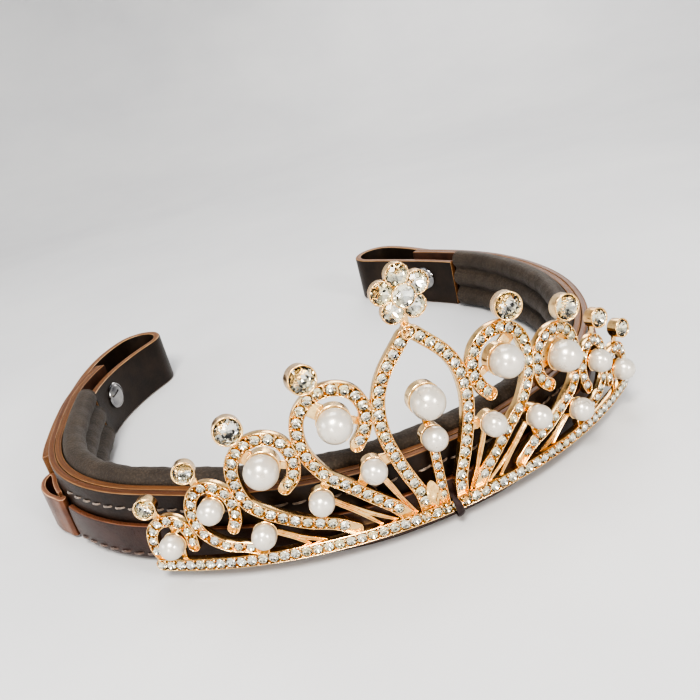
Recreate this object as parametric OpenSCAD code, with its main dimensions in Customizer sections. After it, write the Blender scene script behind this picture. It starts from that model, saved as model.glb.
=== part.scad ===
// Padded leather bridle browband with a jewelled tiara tied to its front.
// Millimetres. +Z is up, the tiara faces -Y, the band opens towards +Y.
// The band stands on its lower edge at z = 0.

/* [Strap] */
// Height of the laminated strap
strap_h = 20.5; // [19.5:0.5:20.5]
// Thickness of each of the two strap laminations
lam_t = 2.05; // [1.8:0.05:2.05]
// Height of the raised overlay strip
overlay_h = 10.2; // [9:0.1:10.5]
// Thickness of the overlay strip
overlay_t = 1.7; // [1.2:0.1:1.7]

/* [Lining] */
// Radius of the rolled top edge of the lining
roll_r = 3.35; // [3:0.05:3.35]
// Thickness of the lining leather
skin_t = 1.2; // [0.8:0.1:1.6]

/* [End loops] */
// Width of the loop straps
loop_w = 18.5; // [16.5:0.5:18.5]
// Thickness of the loop straps
loop_t = 2.6; // [2.2:0.1:2.8]
// How far the outer leaf swells away from the band towards the fold
loop_swell = 8; // [6:0.5:9]
// Radius of the press-stud caps
cap_r = 4.8; // [4.2:0.1:5.5]

/* [Tiara] */
// Height of the rail's centre line above the band's lower edge
rail_z = 5.5; // [5.2:0.1:5.8]
// Width of the stone-set ribs
rib_w = 3.3; // [3.2:0.05:3.3]
// Radius of the small round stones
stone_r = 1.2; // [1:0.05:1.2]
// Radius of the large pearls
pearl_big = 4; // [3.6:0.1:4]
// Radius of the small pearls
pearl_small = 3; // [2.6:0.1:3]

/* [Hidden] */
$fn = 48;

// ---- colours
dark_brown = [0.17, 0.11, 0.09];
red_brown = [0.24, 0.13, 0.11];
tan = [0.50, 0.30, 0.18];
taupe = [0.27, 0.24, 0.22];
rose_gold = [0.93, 0.70, 0.50];
crystal = [0.88, 0.89, 0.84];
nacre = [0.95, 0.93, 0.90];
chrome = [0.75, 0.76, 0.78];
thread = [0.70, 0.66, 0.62];

// shift that puts the origin at the middle of the band's plan
x_mid = 3.6;
y_mid = 88.8;
// radius of the tiara's curve, in plan
tr = 112;

// ---- smooth curves through control points
function cr(a, b, c, d, t) = 0.5 * (2 * b + (c - a) * t + (2 * a - 5 * b + 4 * c - d) * t * t
  + (3 * b - a - 3 * c + d) * t * t * t);
function spline(P, n) = let (m = len(P)) [
  for (i = [0:m - 2]) for (k = [0:n - 1])
    cr(i == 0 ? 2 * P[0] - P[1] : P[i - 1], P[i], P[i + 1],
       i == m - 2 ? 2 * P[m - 1] - P[m - 2] : P[i + 2], k / n),
  P[m - 1]];
function lens(P) = [for (i = 0, s = 0; i < len(P);
  s = s + (i + 1 < len(P) ? norm(P[i + 1] - P[i]) : 0), i = i + 1) s];

// ---- plan of the band: the axis of the rolled top edge, from the front to each end
// the band lies flexed a little wider on its left side, and its middle lies a little right of the tiara's
tie_shift = 4;
right_plan = [[0, 11], [14, 12], [26, 15.5], [37, 20.5], [47, 26.5], [57, 36.5], [65.5, 48], [71.5, 60.5],
  [75.5, 74], [77, 87.5], [76.5, 101.5], [74, 115.5], [69, 129], [62.5, 141.5], [55, 153.5],
  [47, 165.5], [39, 177.5]];
left_plan = [[14, 12], [26, 15.5], [37, 20.5], [47, 26.5], [58.5, 35.5], [70, 45.5], [78.5, 57], [83.5, 69.5],
  [85, 82.5], [84, 95.5], [82, 109.5], [79, 123], [73, 136], [64.5, 147.5], [54.5, 157.5],
  [44, 167], [33.5, 176.5]];
nl = len(left_plan);
plan = concat([for (i = [nl - 1:-1:0]) [-left_plan[i][0], left_plan[i][1]]], right_plan);
plan_pts = spline(plan, 8);
plan_len = lens(plan_pts);
front_len = plan_len[8 * nl] + tie_shift;
tab_x = [for (i = [0:len(plan_pts) - 1]) [plan_len[i] - front_len, plan_pts[i][0]]];
tab_y = [for (i = [0:len(plan_pts) - 1]) [plan_len[i] - front_len, plan_pts[i][1]]];
function at(s) = [lookup(s, tab_x), lookup(s, tab_y)];
function along(s) = let (d = at(s + 1) - at(s - 1)) d / norm(d);
function out(s) = let (t = along(s)) [t[1], -t[0]];
// point at run s along the band, distance d outwards from the roll axis
function off(s, d) = at(s) + out(s) * d;

// layers, as distances outwards from the roll axis
pad_d = 3.2;
back_d = 3.3;
face_d = back_d + lam_t;
over_d = face_d + lam_t;
leaf_d = over_d + 0.1;
// where things start and end along the band
seg = 4;
pad_end = 158;
strap_end = 184;
over_end = 104;
leaf_start = 124;
swell_start = 165;
fold_s = 207;
flap_end = 161;
snap_s = 176;
flap_d = -1.9;
flap_in = flap_d + loop_t;
fold_c = (leaf_d + loop_swell + loop_t + flap_d) / 2;
fold_ro = (leaf_d + loop_swell + loop_t - flap_d) / 2;
fold_ri = fold_ro - loop_t;
loop_z = 0;
snap_z = 11;

module place() { translate([x_mid, -y_mid, 0]) children(); }
module strip(s0, s1, d0, d1, step = seg) {
  n = round((s1 - s0) / step);
  polygon(concat([for (i = [0:n]) off(s0 + (s1 - s0) * i / n, d1)],
                 [for (i = [n:-1:0]) off(s0 + (s1 - s0) * i / n, d0)]));
}
// the same on one side of the band, from the front backwards
module side_strip(side, s0, s1, d0, d1, step = seg) strip(min(side * s0, side * s1), max(side * s0, side * s1), d0, d1, step);
// stands at run s and distance d, with local z pointing outwards
module facing(s, d, z) {
  p = off(s, d);
  t = along(s);
  translate([p[0], p[1], z]) rotate([90, 0, atan2(t[1], t[0])]) children();
}

// ---- browband pieces
module strap_backing() color(tan) place() linear_extrude(strap_h) strip(-strap_end, strap_end, back_d, face_d);
module strap_face() color(dark_brown) place() linear_extrude(strap_h) strip(-strap_end, strap_end, face_d, over_d);
module overlay_strip() color(red_brown) place() translate([0, 0, 1.5])
  linear_extrude(overlay_h) strip(-over_end, over_end, over_d, over_d + overlay_t);

// section of the lining: flat outer side, rolled top, two lower rolls; e is the inset
function lobe(o, z, r, angles) = [for (a = angles) [o + r * cos(a), z + r * sin(a)]];
function section(e) = concat(
  [[pad_d - e, 0.3 + e], [pad_d - e, 17.6]],
  lobe(-0.2, 19.5, roll_r - e, [-20, 15, 50, 85, 120, 155, 190, 222]),
  [[-2 + e, 16.2]],
  lobe(-0.6, 12.5, 3.7 - e, [140, 165, 195, 220]),
  [[-2 + e, 8.6]],
  lobe(-0.6, 4.4, 3.9 - e, [130, 165, 200, 235]),
  [[-0.9, 0.3 + e]]);
pad_runs = [for (i = [-20:20]) i * pad_end / 20];
function sweep_pts(e, runs) = [for (s = runs) for (q = section(e)) let (p = off(s, q[0])) [p[0], p[1], q[1]]];
function tube_faces(n, m, base, flip) = [for (i = [0:m - 2]) for (k = [0:n - 1])
  let (a = base + i * n + k, b = base + i * n + (k + 1) % n, c = b + n, d = a + n)
  each (flip ? [[a, b, c], [a, c, d]] : [[a, c, b], [a, d, c]])];
module lining_sleeve() color(taupe) place() {
  n = len(section(0));
  m = len(pad_runs);
  N = n * m;
  polyhedron(concat(sweep_pts(0, pad_runs), sweep_pts(skin_t, pad_runs)),
    concat(tube_faces(n, m, 0, true), tube_faces(n, m, N, false),
      [for (k = [0:n - 1]) let (j = (k + 1) % n) each [[k, N + k, N + j], [k, N + j, j]]],
      [for (k = [0:n - 1]) let (j = (k + 1) % n, w = (m - 1) * n)
        each [[w + k, w + N + j, w + N + k], [w + k, w + j, w + N + j]]]), convexity = 10);
}
module foam_core() color([0.75, 0.73, 0.68]) place() {
  runs = [for (s = pad_runs) s * 0.998];
  n = len(section(0));
  m = len(runs);
  e = skin_t + 0.12;
  polyhedron(sweep_pts(e, runs), concat(tube_faces(n, m, 0, true),
    [[for (k = [0:n - 1]) n - 1 - k]], [[for (k = [0:n - 1]) (m - 1) * n + k]]), convexity = 10);
}

// end loops: the outer leaf runs back along the band, swells out, folds round and returns as the flap
function swell(s) = let (u = max(0, min(1, (s - swell_start) / (fold_s - swell_start)))) loop_swell * u * u * (3 - 2 * u);
module loop_strap(side) color(dark_brown) place() translate([0, 0, loop_z]) {
  n = round((fold_s - leaf_start) / 2);
  runs = [for (i = [0:n]) leaf_start + (fold_s - leaf_start) * i / n];
  c = off(side * fold_s, fold_c);
  t = side * along(side * fold_s);
  o = out(side * fold_s);
  linear_extrude(loop_w) polygon(concat(
    [for (s = runs) off(side * s, leaf_d + loop_t + swell(s))],
    [for (a = [6:6:180]) c + fold_ro * (o * cos(a) + t * sin(a))],
    [for (a = [180:-6:6]) c + fold_ri * (o * cos(a) + t * sin(a))],
    [for (i = [n:-1:0]) off(side * runs[i], leaf_d + swell(runs[i]))]));
}
module loop_strap_left() loop_strap(-1);
module loop_strap_right() loop_strap(1);
module loop_flap(side) color(dark_brown) place() difference() {
  translate([0, 0, loop_z]) linear_extrude(loop_w) side_strip(side, flap_end, fold_s - 0.12, flap_d, flap_in);
  facing(side * snap_s, flap_d, snap_z) translate([0, 0, -5]) cylinder(r = 1.5, h = 10);
}
module loop_flap_left() loop_flap(-1);
module loop_flap_right() loop_flap(1);
// folded leather keeper beside the loop strap's cut end
function bow(s, a, b, h) = h * pow(sin(180 * (s - a) / (b - a)), 0.55);
module keeper(side) color(red_brown) place() translate([0, 0, 0.8]) linear_extrude(12.5) {
  a = 105; b = 123; n = 18;
  difference() {
    polygon(concat([for (i = [0:n]) let (s = a + (b - a) * i / n) off(side * s, leaf_d + 1.8 + bow(s, a, b, 3.2))],
                   [for (i = [n:-1:0]) off(side * (a + (b - a) * i / n), leaf_d)]));
    polygon(concat([for (i = [1:n - 2]) let (s = a + 3 + (b - a - 5) * i / n) off(side * s, leaf_d + 1.9 + bow(s, a + 2, b, 1.6))],
                   [for (i = [n - 2:-1:1]) off(side * (a + 3 + (b - a - 5) * i / n), leaf_d + 1.5)]));
  }
}
module keeper_left() keeper(-1);
module keeper_right() keeper(1);

// press studs: cap and socket on the flap, stud on the strap
module snap_cap(side) color(chrome) place() facing(side * snap_s, flap_d, snap_z) {
  rotate_extrude() polygon(concat([[0, -0.24], [0, -2.25]],
    [for (a = [8:8:88]) [cap_r * sin(a), -0.45 - 1.8 * cos(a)]], [[cap_r, -0.45], [cap_r, -0.24]]));
  translate([0, 0, -0.3]) cylinder(r = 1.3, h = loop_t + 0.8);
}
module snap_cap_left() snap_cap(-1);
module snap_cap_right() snap_cap(1);
module snap_socket(side) color(chrome) place() facing(side * snap_s, flap_in + 0.05, snap_z)
  rotate_extrude() polygon([[1.4, 0], [4.1, 0], [4.1, 1.7], [2.35, 1.7], [2.35, 0.55], [1.4, 0.55]]);
module snap_socket_left() snap_socket(-1);
module snap_socket_right() snap_socket(1);
module snap_stud(side) color(chrome) place() facing(side * snap_s, back_d, snap_z) {
  rotate_extrude() polygon([[0, -0.15], [4, -0.15], [4, -0.5], [1.7, -0.6], [1.7, -1.0], [2, -1.3], [1.7, -1.8], [0, -1.8]]);
}
module snap_stud_left() snap_stud(-1);
module snap_stud_right() snap_stud(1);

// rows of stitches
module stitches(s1, d, z, pitch, gap) {
  n = floor(2 * s1 / pitch);
  for (i = [0:n]) {
    s = -s1 + i * 2 * s1 / n;
    if (abs(s + tie_shift - 2) > gap) facing(s, d, z) rotate([0, 90, 0]) cylinder(r = 0.4, h = 2.9, center = true, $fn = 16);
  }
}
module stitching_upper() color(thread) place() stitches(102, over_d + 0.1, 16, 4, 0);
module stitching_lower() color(thread) place() stitches(100, over_d + overlay_t + 0.1, 3, 4, 2.4);

// ---- tiara: flat pattern coordinates (run s, height z), h outwards from the curved front
function bend(s, z, h) = let (a = s / tr * 180 / PI, r = tr + h) [x_mid + r * sin(a), tr - y_mid - r * cos(a), rail_z + z];
// stands on the curved front with local z outwards, x along the run and y up
module seat(s, z, h) { translate(bend(s, z, h)) rotate([90, 0, s / tr * 180 / PI]) children(); }

// stone-set rib: channel of width w swept along a flat-pattern curve
rib_back = -1.8;
rib_top = 0.2;
rib_floor = -0.7;
wall = 0.35;
function channel(w) = [[-w / 2, rib_back], [w / 2, rib_back], [w / 2, rib_top], [w / 2 - wall, rib_top],
  [w / 2 - wall, rib_floor], [wall - w / 2, rib_floor], [wall - w / 2, rib_top], [-w / 2, rib_top]];
function dir(P, i) = let (d = P[min(i + 1, len(P) - 1)] - P[max(i - 1, 0)]) d / norm(d);
module rib(P, w, side) {
  c = channel(w);
  m = len(P);
  pts = [for (i = [0:m - 1]) let (t = dir(P, i)) for (q = c)
    bend(side * (P[i][0] + q[0] * t[1]), P[i][1] - q[0] * t[0], q[1])];
  cap = [[0, 1, 4], [0, 4, 5], [1, 2, 3], [1, 3, 4], [0, 5, 6], [0, 6, 7]];
  w0 = (m - 1) * 8;
  faces = concat(tube_faces(8, m, 0, side > 0),
    [for (f = cap) side > 0 ? [f[2], f[1], f[0]] : f],
    [for (f = cap) side > 0 ? [w0 + f[0], w0 + f[1], w0 + f[2]] : [w0 + f[2], w0 + f[1], w0 + f[0]]]);
  polyhedron(pts, faces, convexity = 10);
}
module stone(r) { cylinder(r = r, h = 0.55, $fn = 24); translate([0, 0, 0.55]) cylinder(r1 = r, r2 = r * 0.6, h = 0.45, $fn = 24); }
// a row of stones in a rib, at even spacing from run a to run b of its length
module stone_row(P, side, pitch, a, b, r = stone_r) {
  L = lens(P);
  tx = [for (i = [0:len(P) - 1]) [L[i], P[i][0]]];
  tz = [for (i = [0:len(P) - 1]) [L[i], P[i][1]]];
  run = L[len(P) - 1] - a - b;
  n = floor(run / pitch);
  for (i = [0:n]) let (u = a + run * i / n)
    seat(side * lookup(u, tx), lookup(u, tz), rib_floor + 0.05) stone(r);
}

arch_pts = spline([[4.6, 1.4], [5.2, 6.7], [7.3, 12.4], [9.3, 18.7], [10.5, 24.4], [10.6, 29.5], [9.6, 34.5], [6.9, 39.5], [1.4, 45.6]], 4);
a_pts = spline([[9.6, 2.3], [12, 5.6], [16, 9.5], [20.6, 14], [25.2, 18.3], [28.3, 23.9], [29.2, 29.6], [27.8, 34.9], [23.7, 38.5],
  [18.8, 38.9], [15, 36.6], [13.3, 31.8], [14.7, 27], [17, 24]], 4);
b_pts = spline([[22, 2.9], [26.4, 5.7], [32.4, 7.7], [39.4, 11.2], [44.3, 15], [46, 20.2], [45.6, 26], [42.4, 30.1], [37.8, 31.5],
  [33.6, 29.8], [31.7, 25.4], [32.6, 20.6], [35.2, 17.9]], 4);
c_pts = spline([[44.6, 2.7], [48.4, 4], [53, 5.1], [57, 8], [58.8, 12], [58.7, 16.5], [56.6, 20.2], [53.4, 21.6], [50, 20.2],
  [48.3, 16.7], [48.5, 12.6], [49.9, 9.6]], 4);
d_pts = spline([[71.2, 1.9], [72.3, 5.2], [71.6, 9.4], [69.2, 12.2], [66, 13.2], [62.9, 12], [61.3, 8.8], [61.4, 5.6]], 4);

theta_end = 37.8;
module base_rail() color(rose_gold) translate([x_mid, tr - y_mid, rail_z]) rotate([0, 0, -90 - theta_end])
  rotate_extrude(angle = 2 * theta_end, $fn = 180) polygon([[tr - 1.8, -1.7], [tr + rib_top, -1.7], [tr + rib_top, -1.35],
    [tr + rib_floor, -1.35], [tr + rib_floor, 1.35], [tr + rib_top, 1.35], [tr + rib_top, 1.7], [tr - 1.8, 1.7]]);
module rail_stones() color(crystal) for (i = [-27:27]) seat(i * 2.68, 0, rib_floor + 0.05) stone(stone_r + 0.05);
module arch_left() color(rose_gold) rib(arch_pts, rib_w, -1);
module arch_right() color(rose_gold) rib(arch_pts, rib_w, 1);
module arch_stones() color(crystal) for (k = [-1, 1]) stone_row(arch_pts, k, 2.9, 3, 1.5);
module scroll_a_left() color(rose_gold) rib(a_pts, rib_w, -1);
module scroll_a_right() color(rose_gold) rib(a_pts, rib_w, 1);
module scroll_b_left() color(rose_gold) rib(b_pts, rib_w, -1);
module scroll_b_right() color(rose_gold) rib(b_pts, rib_w, 1);
module scroll_c_left() color(rose_gold) rib(c_pts, rib_w - 0.2, -1);
module scroll_c_right() color(rose_gold) rib(c_pts, rib_w - 0.2, 1);
module scroll_d_left() color(rose_gold) rib(d_pts, rib_w - 0.2, -1);
module scroll_d_right() color(rose_gold) rib(d_pts, rib_w - 0.2, 1);
module scroll_stones(k) color(crystal) {
  stone_row(a_pts, k, 2.9, 3, 1.4);
  stone_row(b_pts, k, 2.9, 3, 1.4);
  stone_row(c_pts, k, 2.8, 3, 1.3, stone_r - 0.1);
  stone_row(d_pts, k, 2.7, 2.6, 1.3, stone_r - 0.1);
}
module scroll_stones_left() scroll_stones(-1);
module scroll_stones_right() scroll_stones(1);

// centre stem, its leaf and stones
stem_pts = [for (i = [0:8]) [0, 1.4 + i * 1.9]];
module centre_stem() color(rose_gold) rib(stem_pts, 2.5, 1);
module stem_stones() color(crystal) for (z = [4.2, 6.8, 9.4, 12, 14.6]) seat(0, z, rib_floor + 0.05) stone(0.8);
module leaf() color(rose_gold) seat(-2.1, 1.3, -1.4) rotate([0, 0, 4]) linear_extrude(1.2)
  polygon([for (i = [0:12]) [0.85 * sin(15 * i), 8.5 * i / 12], for (i = [11:-1:1]) [-0.85 * sin(15 * i), 8.5 * i / 12]]);

// flower on the arch's tip: a centre stone and five petals
flower_z = 55.3;
module cup(ro, ri, base, floor_h, rim) rotate_extrude() polygon([[0, base], [ro, base], [ro, rim], [ri, rim], [ri, floor_h], [0, floor_h]]);
module flower_setting() color(rose_gold) {
  difference() {
    union() {
      seat(0, flower_z, -1.4) cylinder(r = 1.6, h = 3);
      seat(0, flower_z, 1.3) cylinder(r = 2.75, h = 1.3);
      for (k = [0:4]) seat(4.2 * sin(72 * k), flower_z + 4.2 * cos(72 * k), -1.4) cylinder(r = 2.75, h = 2.2);
      seat(0, 46.4, -1.8) cylinder(r = 1.8, h = 2.2);
      seat(0, 49.4, -1) rotate([90, 0, 0]) cylinder(r = 1, h = 4.4, center = true);
    }
    for (k = [0:4]) seat(4.2 * sin(72 * k), flower_z + 4.2 * cos(72 * k), -0.4) cylinder(r = 2.4, h = 1.68);
    seat(0, flower_z, 1.7) cylinder(r = 2.5, h = 4);
    seat(0, 46.4, -0.6) cylinder(r = 1.35, h = 4);
  }
}
module gem(r) { cylinder(r = r, h = 0.8); translate([0, 0, 0.8]) cylinder(r1 = r, r2 = r * 0.6, h = 0.8); }
module flower_stones() color(crystal) {
  for (k = [0:4]) seat(4.2 * sin(72 * k), flower_z + 4.2 * cos(72 * k), -0.35) gem(2.3);
  seat(0, flower_z, 1.75) gem(2.45);
  seat(0, 46.4, -0.55) stone(1.25);
}

// bezel-set stones on stalks: run, height, outer radius, and the scroll point below
bezels = [[25, 43.3, 3.4, 24.2, 38.6], [43.6, 35.3, 3.4, 42.6, 30.6], [56.8, 26.6, 2.7, 55.8, 21.4], [70.2, 17.5, 2.7, 69.2, 12.6]];
// each cup is turned towards the middle and tipped up a little
module bezel_seat(b, k) seat(k * b[0], b[1], 0) rotate([-8, -20 * k, 0]) children();
module bezel_cups() color(rose_gold) for (k = [-1, 1]) for (b = bezels) {
  bezel_seat(b, k) cup(b[2], b[2] - 0.4, -1.8, -0.2, 1.5);
  bar([k * b[0], b[1]], [k * b[3], b[4]], -1.25, 0.5);
}
module bezel_stones() color(crystal) for (k = [-1, 1]) for (b = bezels) bezel_seat(b, k) translate([0, 0, -0.15]) gem(b[2] - 0.5);
// straight round bar between two flat-pattern points
module bar(p, q, h, r) {
  a = bend(p[0], p[1], h);
  b = bend(q[0], q[1], h);
  d = b - a;
  translate(a) rotate([0, acos(d[2] / norm(d)), atan2(d[1], d[0])]) cylinder(r = r, h = norm(d), $fn = 20);
}

// pearls: run, height; every pearl is drilled and sits on a peg in a cup
big_h = 2.8;
small_h = 2.2;
big_at = [[0, 30.2], [20.6, 31.8], [-20.6, 31.8], [38.4, 25], [-38.4, 25]];
small_half = [[14.9, 17.7], [27.9, 13.4], [42.6, 7.8], [52.9, 16.4], [65.6, 7.4]];
small_at = concat([[0, 20.5]], [for (k = [-1, 1]) for (p = small_half) [k * p[0], p[1]]]);
module pearl(r, p, h) seat(p[0], p[1], h) difference() {
  sphere(r = r, $fn = 64);
  translate([0, 0, -r - 1]) cylinder(r = 0.6, h = r + 1.5);
}
module pearl_cup(r, p, h, ro, rim) seat(p[0], p[1], h) {
  top = rim - h;
  lip = acos(-top / (r + 0.06));
  rotate_extrude() polygon(concat([[0, rib_back - h], [ro, rib_back - h], [ro, top]],
    [for (i = [8:-1:0]) let (a = 12 + (lip - 12) * i / 8) (r + 0.06) * [sin(a), -cos(a)]],
    [[0.5, -r + 0.02], [0.5, -0.2], [0, -0.2]]));
}
module large_pearls() color(nacre) for (p = big_at) pearl(pearl_big, p, big_h);
module small_pearls() color(nacre) for (p = small_at) pearl(pearl_small, p, small_h);
// arms that carry the cups: pearl, rib point; they leave the cup's side and run into the rib's floor
arms_big = [[20.6, 31.8, 26.3, 36.5], [20.6, 31.8, 14.1, 28.8], [38.4, 25, 44.1, 28.4], [38.4, 25, 32.1, 22.6]];
arms_small = [[14.9, 17.7, 9, 18.2], [14.9, 17.7, 19, 12.4], [27.9, 13.4, 25, 18], [27.9, 13.4, 28.4, 6.4],
  [42.6, 7.8, 41, 12.2], [42.6, 7.8, 44.8, 3], [52.9, 16.4, 53.3, 21.2], [65.6, 7.4, 66, 12.8], [65.6, 7.4, 65.6, 0.8]];
function toward(a, u) = let (d = [a[2] - a[0], a[3] - a[1]]) [a[0], a[1]] + d / norm(d) * u;
module arm(a, k, u, r) { p = toward(a, u); bar([k * p[0], p[1]], [k * a[2], a[3]], -1.25, r); }
module pearl_cups() color(rose_gold) {
  for (p = big_at) pearl_cup(pearl_big, p, big_h, pearl_big, 0.8);
  for (p = small_at) pearl_cup(pearl_small, p, small_h, pearl_small - 0.1, 0.6);
  for (k = [-1, 1]) { for (a = arms_big) arm(a, k, 3, 0.5); for (a = arms_small) arm(a, k, 2.2, 0.5); }
  arm([0, 30.2, 0, 20.5], 1, 3, 0.5);
  arm([0, 20.5, 0, 16], 1, 2.2, 0.5);
}
// thin wires that fan from the lower cups to the rail
wires = [[14.9, 17.7, 6.9, 1], [14.9, 17.7, 9.2, 4.4], [27.9, 13.4, 11.4, 1], [27.9, 13.4, 15.4, 1], [42.6, 7.8, 28.4, 1], [42.6, 7.8, 33, 1]];
module pearl_wires() color(rose_gold) for (k = [-1, 1]) for (w = wires) arm(w, k, 2.7, 0.45);

// leather lace that ties the rail to the band, just right of the centre
module lace_tie() color(dark_brown) seat(2, 0, 0) {
  translate([-0.65, -2.9, 0.5]) cube([1.3, 5.8, 0.9]);
  for (z = [-2.9, 1.9]) translate([-0.65, z, -5]) cube([1.3, 1, 6.4]);
}

strap_backing();
strap_face();
overlay_strip();
lining_sleeve();
foam_core();
loop_strap_left();
loop_strap_right();
loop_flap_left();
loop_flap_right();
keeper_left();
keeper_right();
snap_cap_left();
snap_cap_right();
snap_socket_left();
snap_socket_right();
snap_stud_left();
snap_stud_right();
stitching_upper();
stitching_lower();
base_rail();
rail_stones();
arch_left();
arch_right();
arch_stones();
scroll_a_left();
scroll_a_right();
scroll_b_left();
scroll_b_right();
scroll_c_left();
scroll_c_right();
scroll_d_left();
scroll_d_right();
scroll_stones_left();
scroll_stones_right();
centre_stem();
stem_stones();
leaf();
flower_setting();
flower_stones();
bezel_cups();
bezel_stones();
pearl_cups();
large_pearls();
small_pearls();
pearl_wires();
lace_tie();
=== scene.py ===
"""Looks of a padded leather browband with a jewelled tiara tied to its front, built around its frame."""

import math

import bmesh
import bpy
import numpy as np
from mathutils import Matrix


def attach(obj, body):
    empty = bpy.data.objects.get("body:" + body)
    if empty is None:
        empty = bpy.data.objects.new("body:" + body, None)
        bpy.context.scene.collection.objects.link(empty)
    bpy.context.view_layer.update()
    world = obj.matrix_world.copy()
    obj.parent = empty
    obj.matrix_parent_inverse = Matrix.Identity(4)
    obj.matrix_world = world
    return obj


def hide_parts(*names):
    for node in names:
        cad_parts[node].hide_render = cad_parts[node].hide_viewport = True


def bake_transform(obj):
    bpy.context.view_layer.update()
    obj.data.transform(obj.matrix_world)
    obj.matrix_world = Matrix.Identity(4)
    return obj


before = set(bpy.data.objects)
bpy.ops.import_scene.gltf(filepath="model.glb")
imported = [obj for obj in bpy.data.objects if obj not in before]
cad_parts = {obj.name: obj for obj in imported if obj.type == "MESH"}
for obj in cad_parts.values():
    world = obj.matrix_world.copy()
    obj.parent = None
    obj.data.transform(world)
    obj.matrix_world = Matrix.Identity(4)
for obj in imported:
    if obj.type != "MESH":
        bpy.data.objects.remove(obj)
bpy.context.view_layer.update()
MM = 0.001
rng = np.random.default_rng(11)
scene = bpy.context.scene


# ------------------------------------------------------------------ curves, in millimetres
def spline(points, n):
    p = np.asarray(points, float)
    q = np.vstack([2 * p[0] - p[1], p, 2 * p[-1] - p[-2]])
    t = (np.arange(n) / n)[:, None]
    out = []
    for i in range(len(p) - 1):
        a, b, c, d = q[i : i + 4]
        out.append(0.5 * (2 * b + (c - a) * t + (2 * a - 5 * b + 4 * c - d) * t * t + (3 * b - a - 3 * c + d) * t**3))
    out.append(p[-1:])
    return np.vstack(out)


def lengths(p):
    return np.r_[0, np.cumsum(np.linalg.norm(np.diff(p, axis=0), axis=1))]


def resample(p, step):
    ln = lengths(p)
    u = np.linspace(0, ln[-1], max(2, int(round(ln[-1] / step)) + 1))
    return np.stack([np.interp(u, ln, p[:, k]) for k in range(p.shape[1])], -1)


RIGHT = [[0, 11], [14, 12], [26, 15.5], [37, 20.5], [47, 26.5], [57, 36.5], [65.5, 48], [71.5, 60.5], [75.5, 74], [77, 87.5],
         [76.5, 101.5], [74, 115.5], [69, 129], [62.5, 141.5], [55, 153.5], [47, 165.5], [39, 177.5]]
LEFT = [[14, 12], [26, 15.5], [37, 20.5], [47, 26.5], [58.5, 35.5], [70, 45.5], [78.5, 57], [83.5, 69.5], [85, 82.5], [84, 95.5],
        [82, 109.5], [79, 123], [73, 136], [64.5, 147.5], [54.5, 157.5], [44, 167], [33.5, 176.5]]
_plan = spline([[-x, y] for x, y in LEFT[::-1]] + RIGHT, 32)
_run = lengths(_plan)
_run = _run - _run[32 * len(LEFT)] - 4
X_MID, Y_MID = 3.6, 88.8


def at(s):
    return np.stack([np.interp(s, _run, _plan[:, 0]), np.interp(s, _run, _plan[:, 1])], -1)


def along(s):
    s = np.asarray(s, float)
    d = at(s + 0.8) - at(s - 0.8)
    return d / np.linalg.norm(d, axis=-1, keepdims=True)


def outward(s):
    t = along(s)
    return np.stack([t[..., 1], -t[..., 0]], -1)


def off(s, d):
    """Plan point at run s, distance d outwards from the axis of the rolled edge."""
    s = np.asarray(s, float)
    p = at(s) + outward(s) * np.asarray(d, float)[..., None]
    return p + np.array([X_MID, -Y_MID])


TR = 112.0
RAIL_Z = 5.5


def bend(p):
    """Flat-pattern points (run, height, outwards) laid on the tiara's curved front."""
    p = np.asarray(p, float)
    a, r = p[..., 0] / TR, TR + p[..., 2]
    return np.stack([X_MID + r * np.sin(a), TR - Y_MID - r * np.cos(a), RAIL_Z + p[..., 1]], -1)


def seat(local, s, z, h):
    """Local points (x along the run, y up, z outwards) standing on the curved front."""
    a = s / TR
    o = bend(np.array([s, z, h]))
    m = np.array([[math.cos(a), math.sin(a), 0], [0, 0, 1], [math.sin(a), -math.cos(a), 0]])
    return o + np.asarray(local, float) @ m


# ------------------------------------------------------------------ mesh helpers
class Bag:
    """Points and faces of one piece, with the run, layer and height of each point and how far it is a cut edge."""

    def __init__(self):
        self.v, self.f, self.m, self.sdz, self.edge, self.n = [], [], [], [], [], 0

    def add(self, v, f, m=0, sdz=None, edge=None):
        v = np.asarray(v, float)
        self.v.append(v)
        self.f += [[i + self.n for i in face] for face in f]
        self.m += [m] * len(f) if isinstance(m, int) else list(m)
        self.sdz.append(np.asarray(sdz, float) if sdz is not None else v)
        self.edge.append(np.asarray(edge, float) if edge is not None else np.zeros(len(v)))
        self.n += len(v)
        return self

    def make(self, name, mats, body="band", smooth=True, sharp=None, replaces=(), slot=None, ride=True):
        v = np.vstack(self.v)
        me = bpy.data.meshes.new(name)
        me.from_pydata((v * MM).tolist(), [], self.f)
        for m in mats:
            me.materials.append(m)
        me.polygons.foreach_set("material_index", self.m)
        bm = bmesh.new()
        bm.from_mesh(me)
        bmesh.ops.recalc_face_normals(bm, faces=bm.faces)
        bm.to_mesh(me)
        bm.free()
        me.polygons.foreach_set("use_smooth", [smooth] * len(me.polygons))
        if sharp:
            me.set_sharp_from_angle(angle=math.radians(sharp))
        a = me.attributes.new("sdz", "FLOAT_VECTOR", "POINT")
        a.data.foreach_set("vector", np.vstack(self.sdz).astype(np.float32).ravel())
        a = me.attributes.new("edge", "FLOAT", "POINT")
        a.data.foreach_set("value", np.concatenate(self.edge).astype(np.float32))
        me.update()
        ob = bpy.data.objects.new(name, me)
        scene.collection.objects.link(ob)
        if ride:
            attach(ob, body)
        if replaces:
            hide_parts(*replaces)
        return ob


def bridge(rings, k):
    return [[i * k + j, i * k + (j + 1) % k, (i + 1) * k + (j + 1) % k, (i + 1) * k + j]
            for i in range(rings - 1) for j in range(k)]


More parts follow.
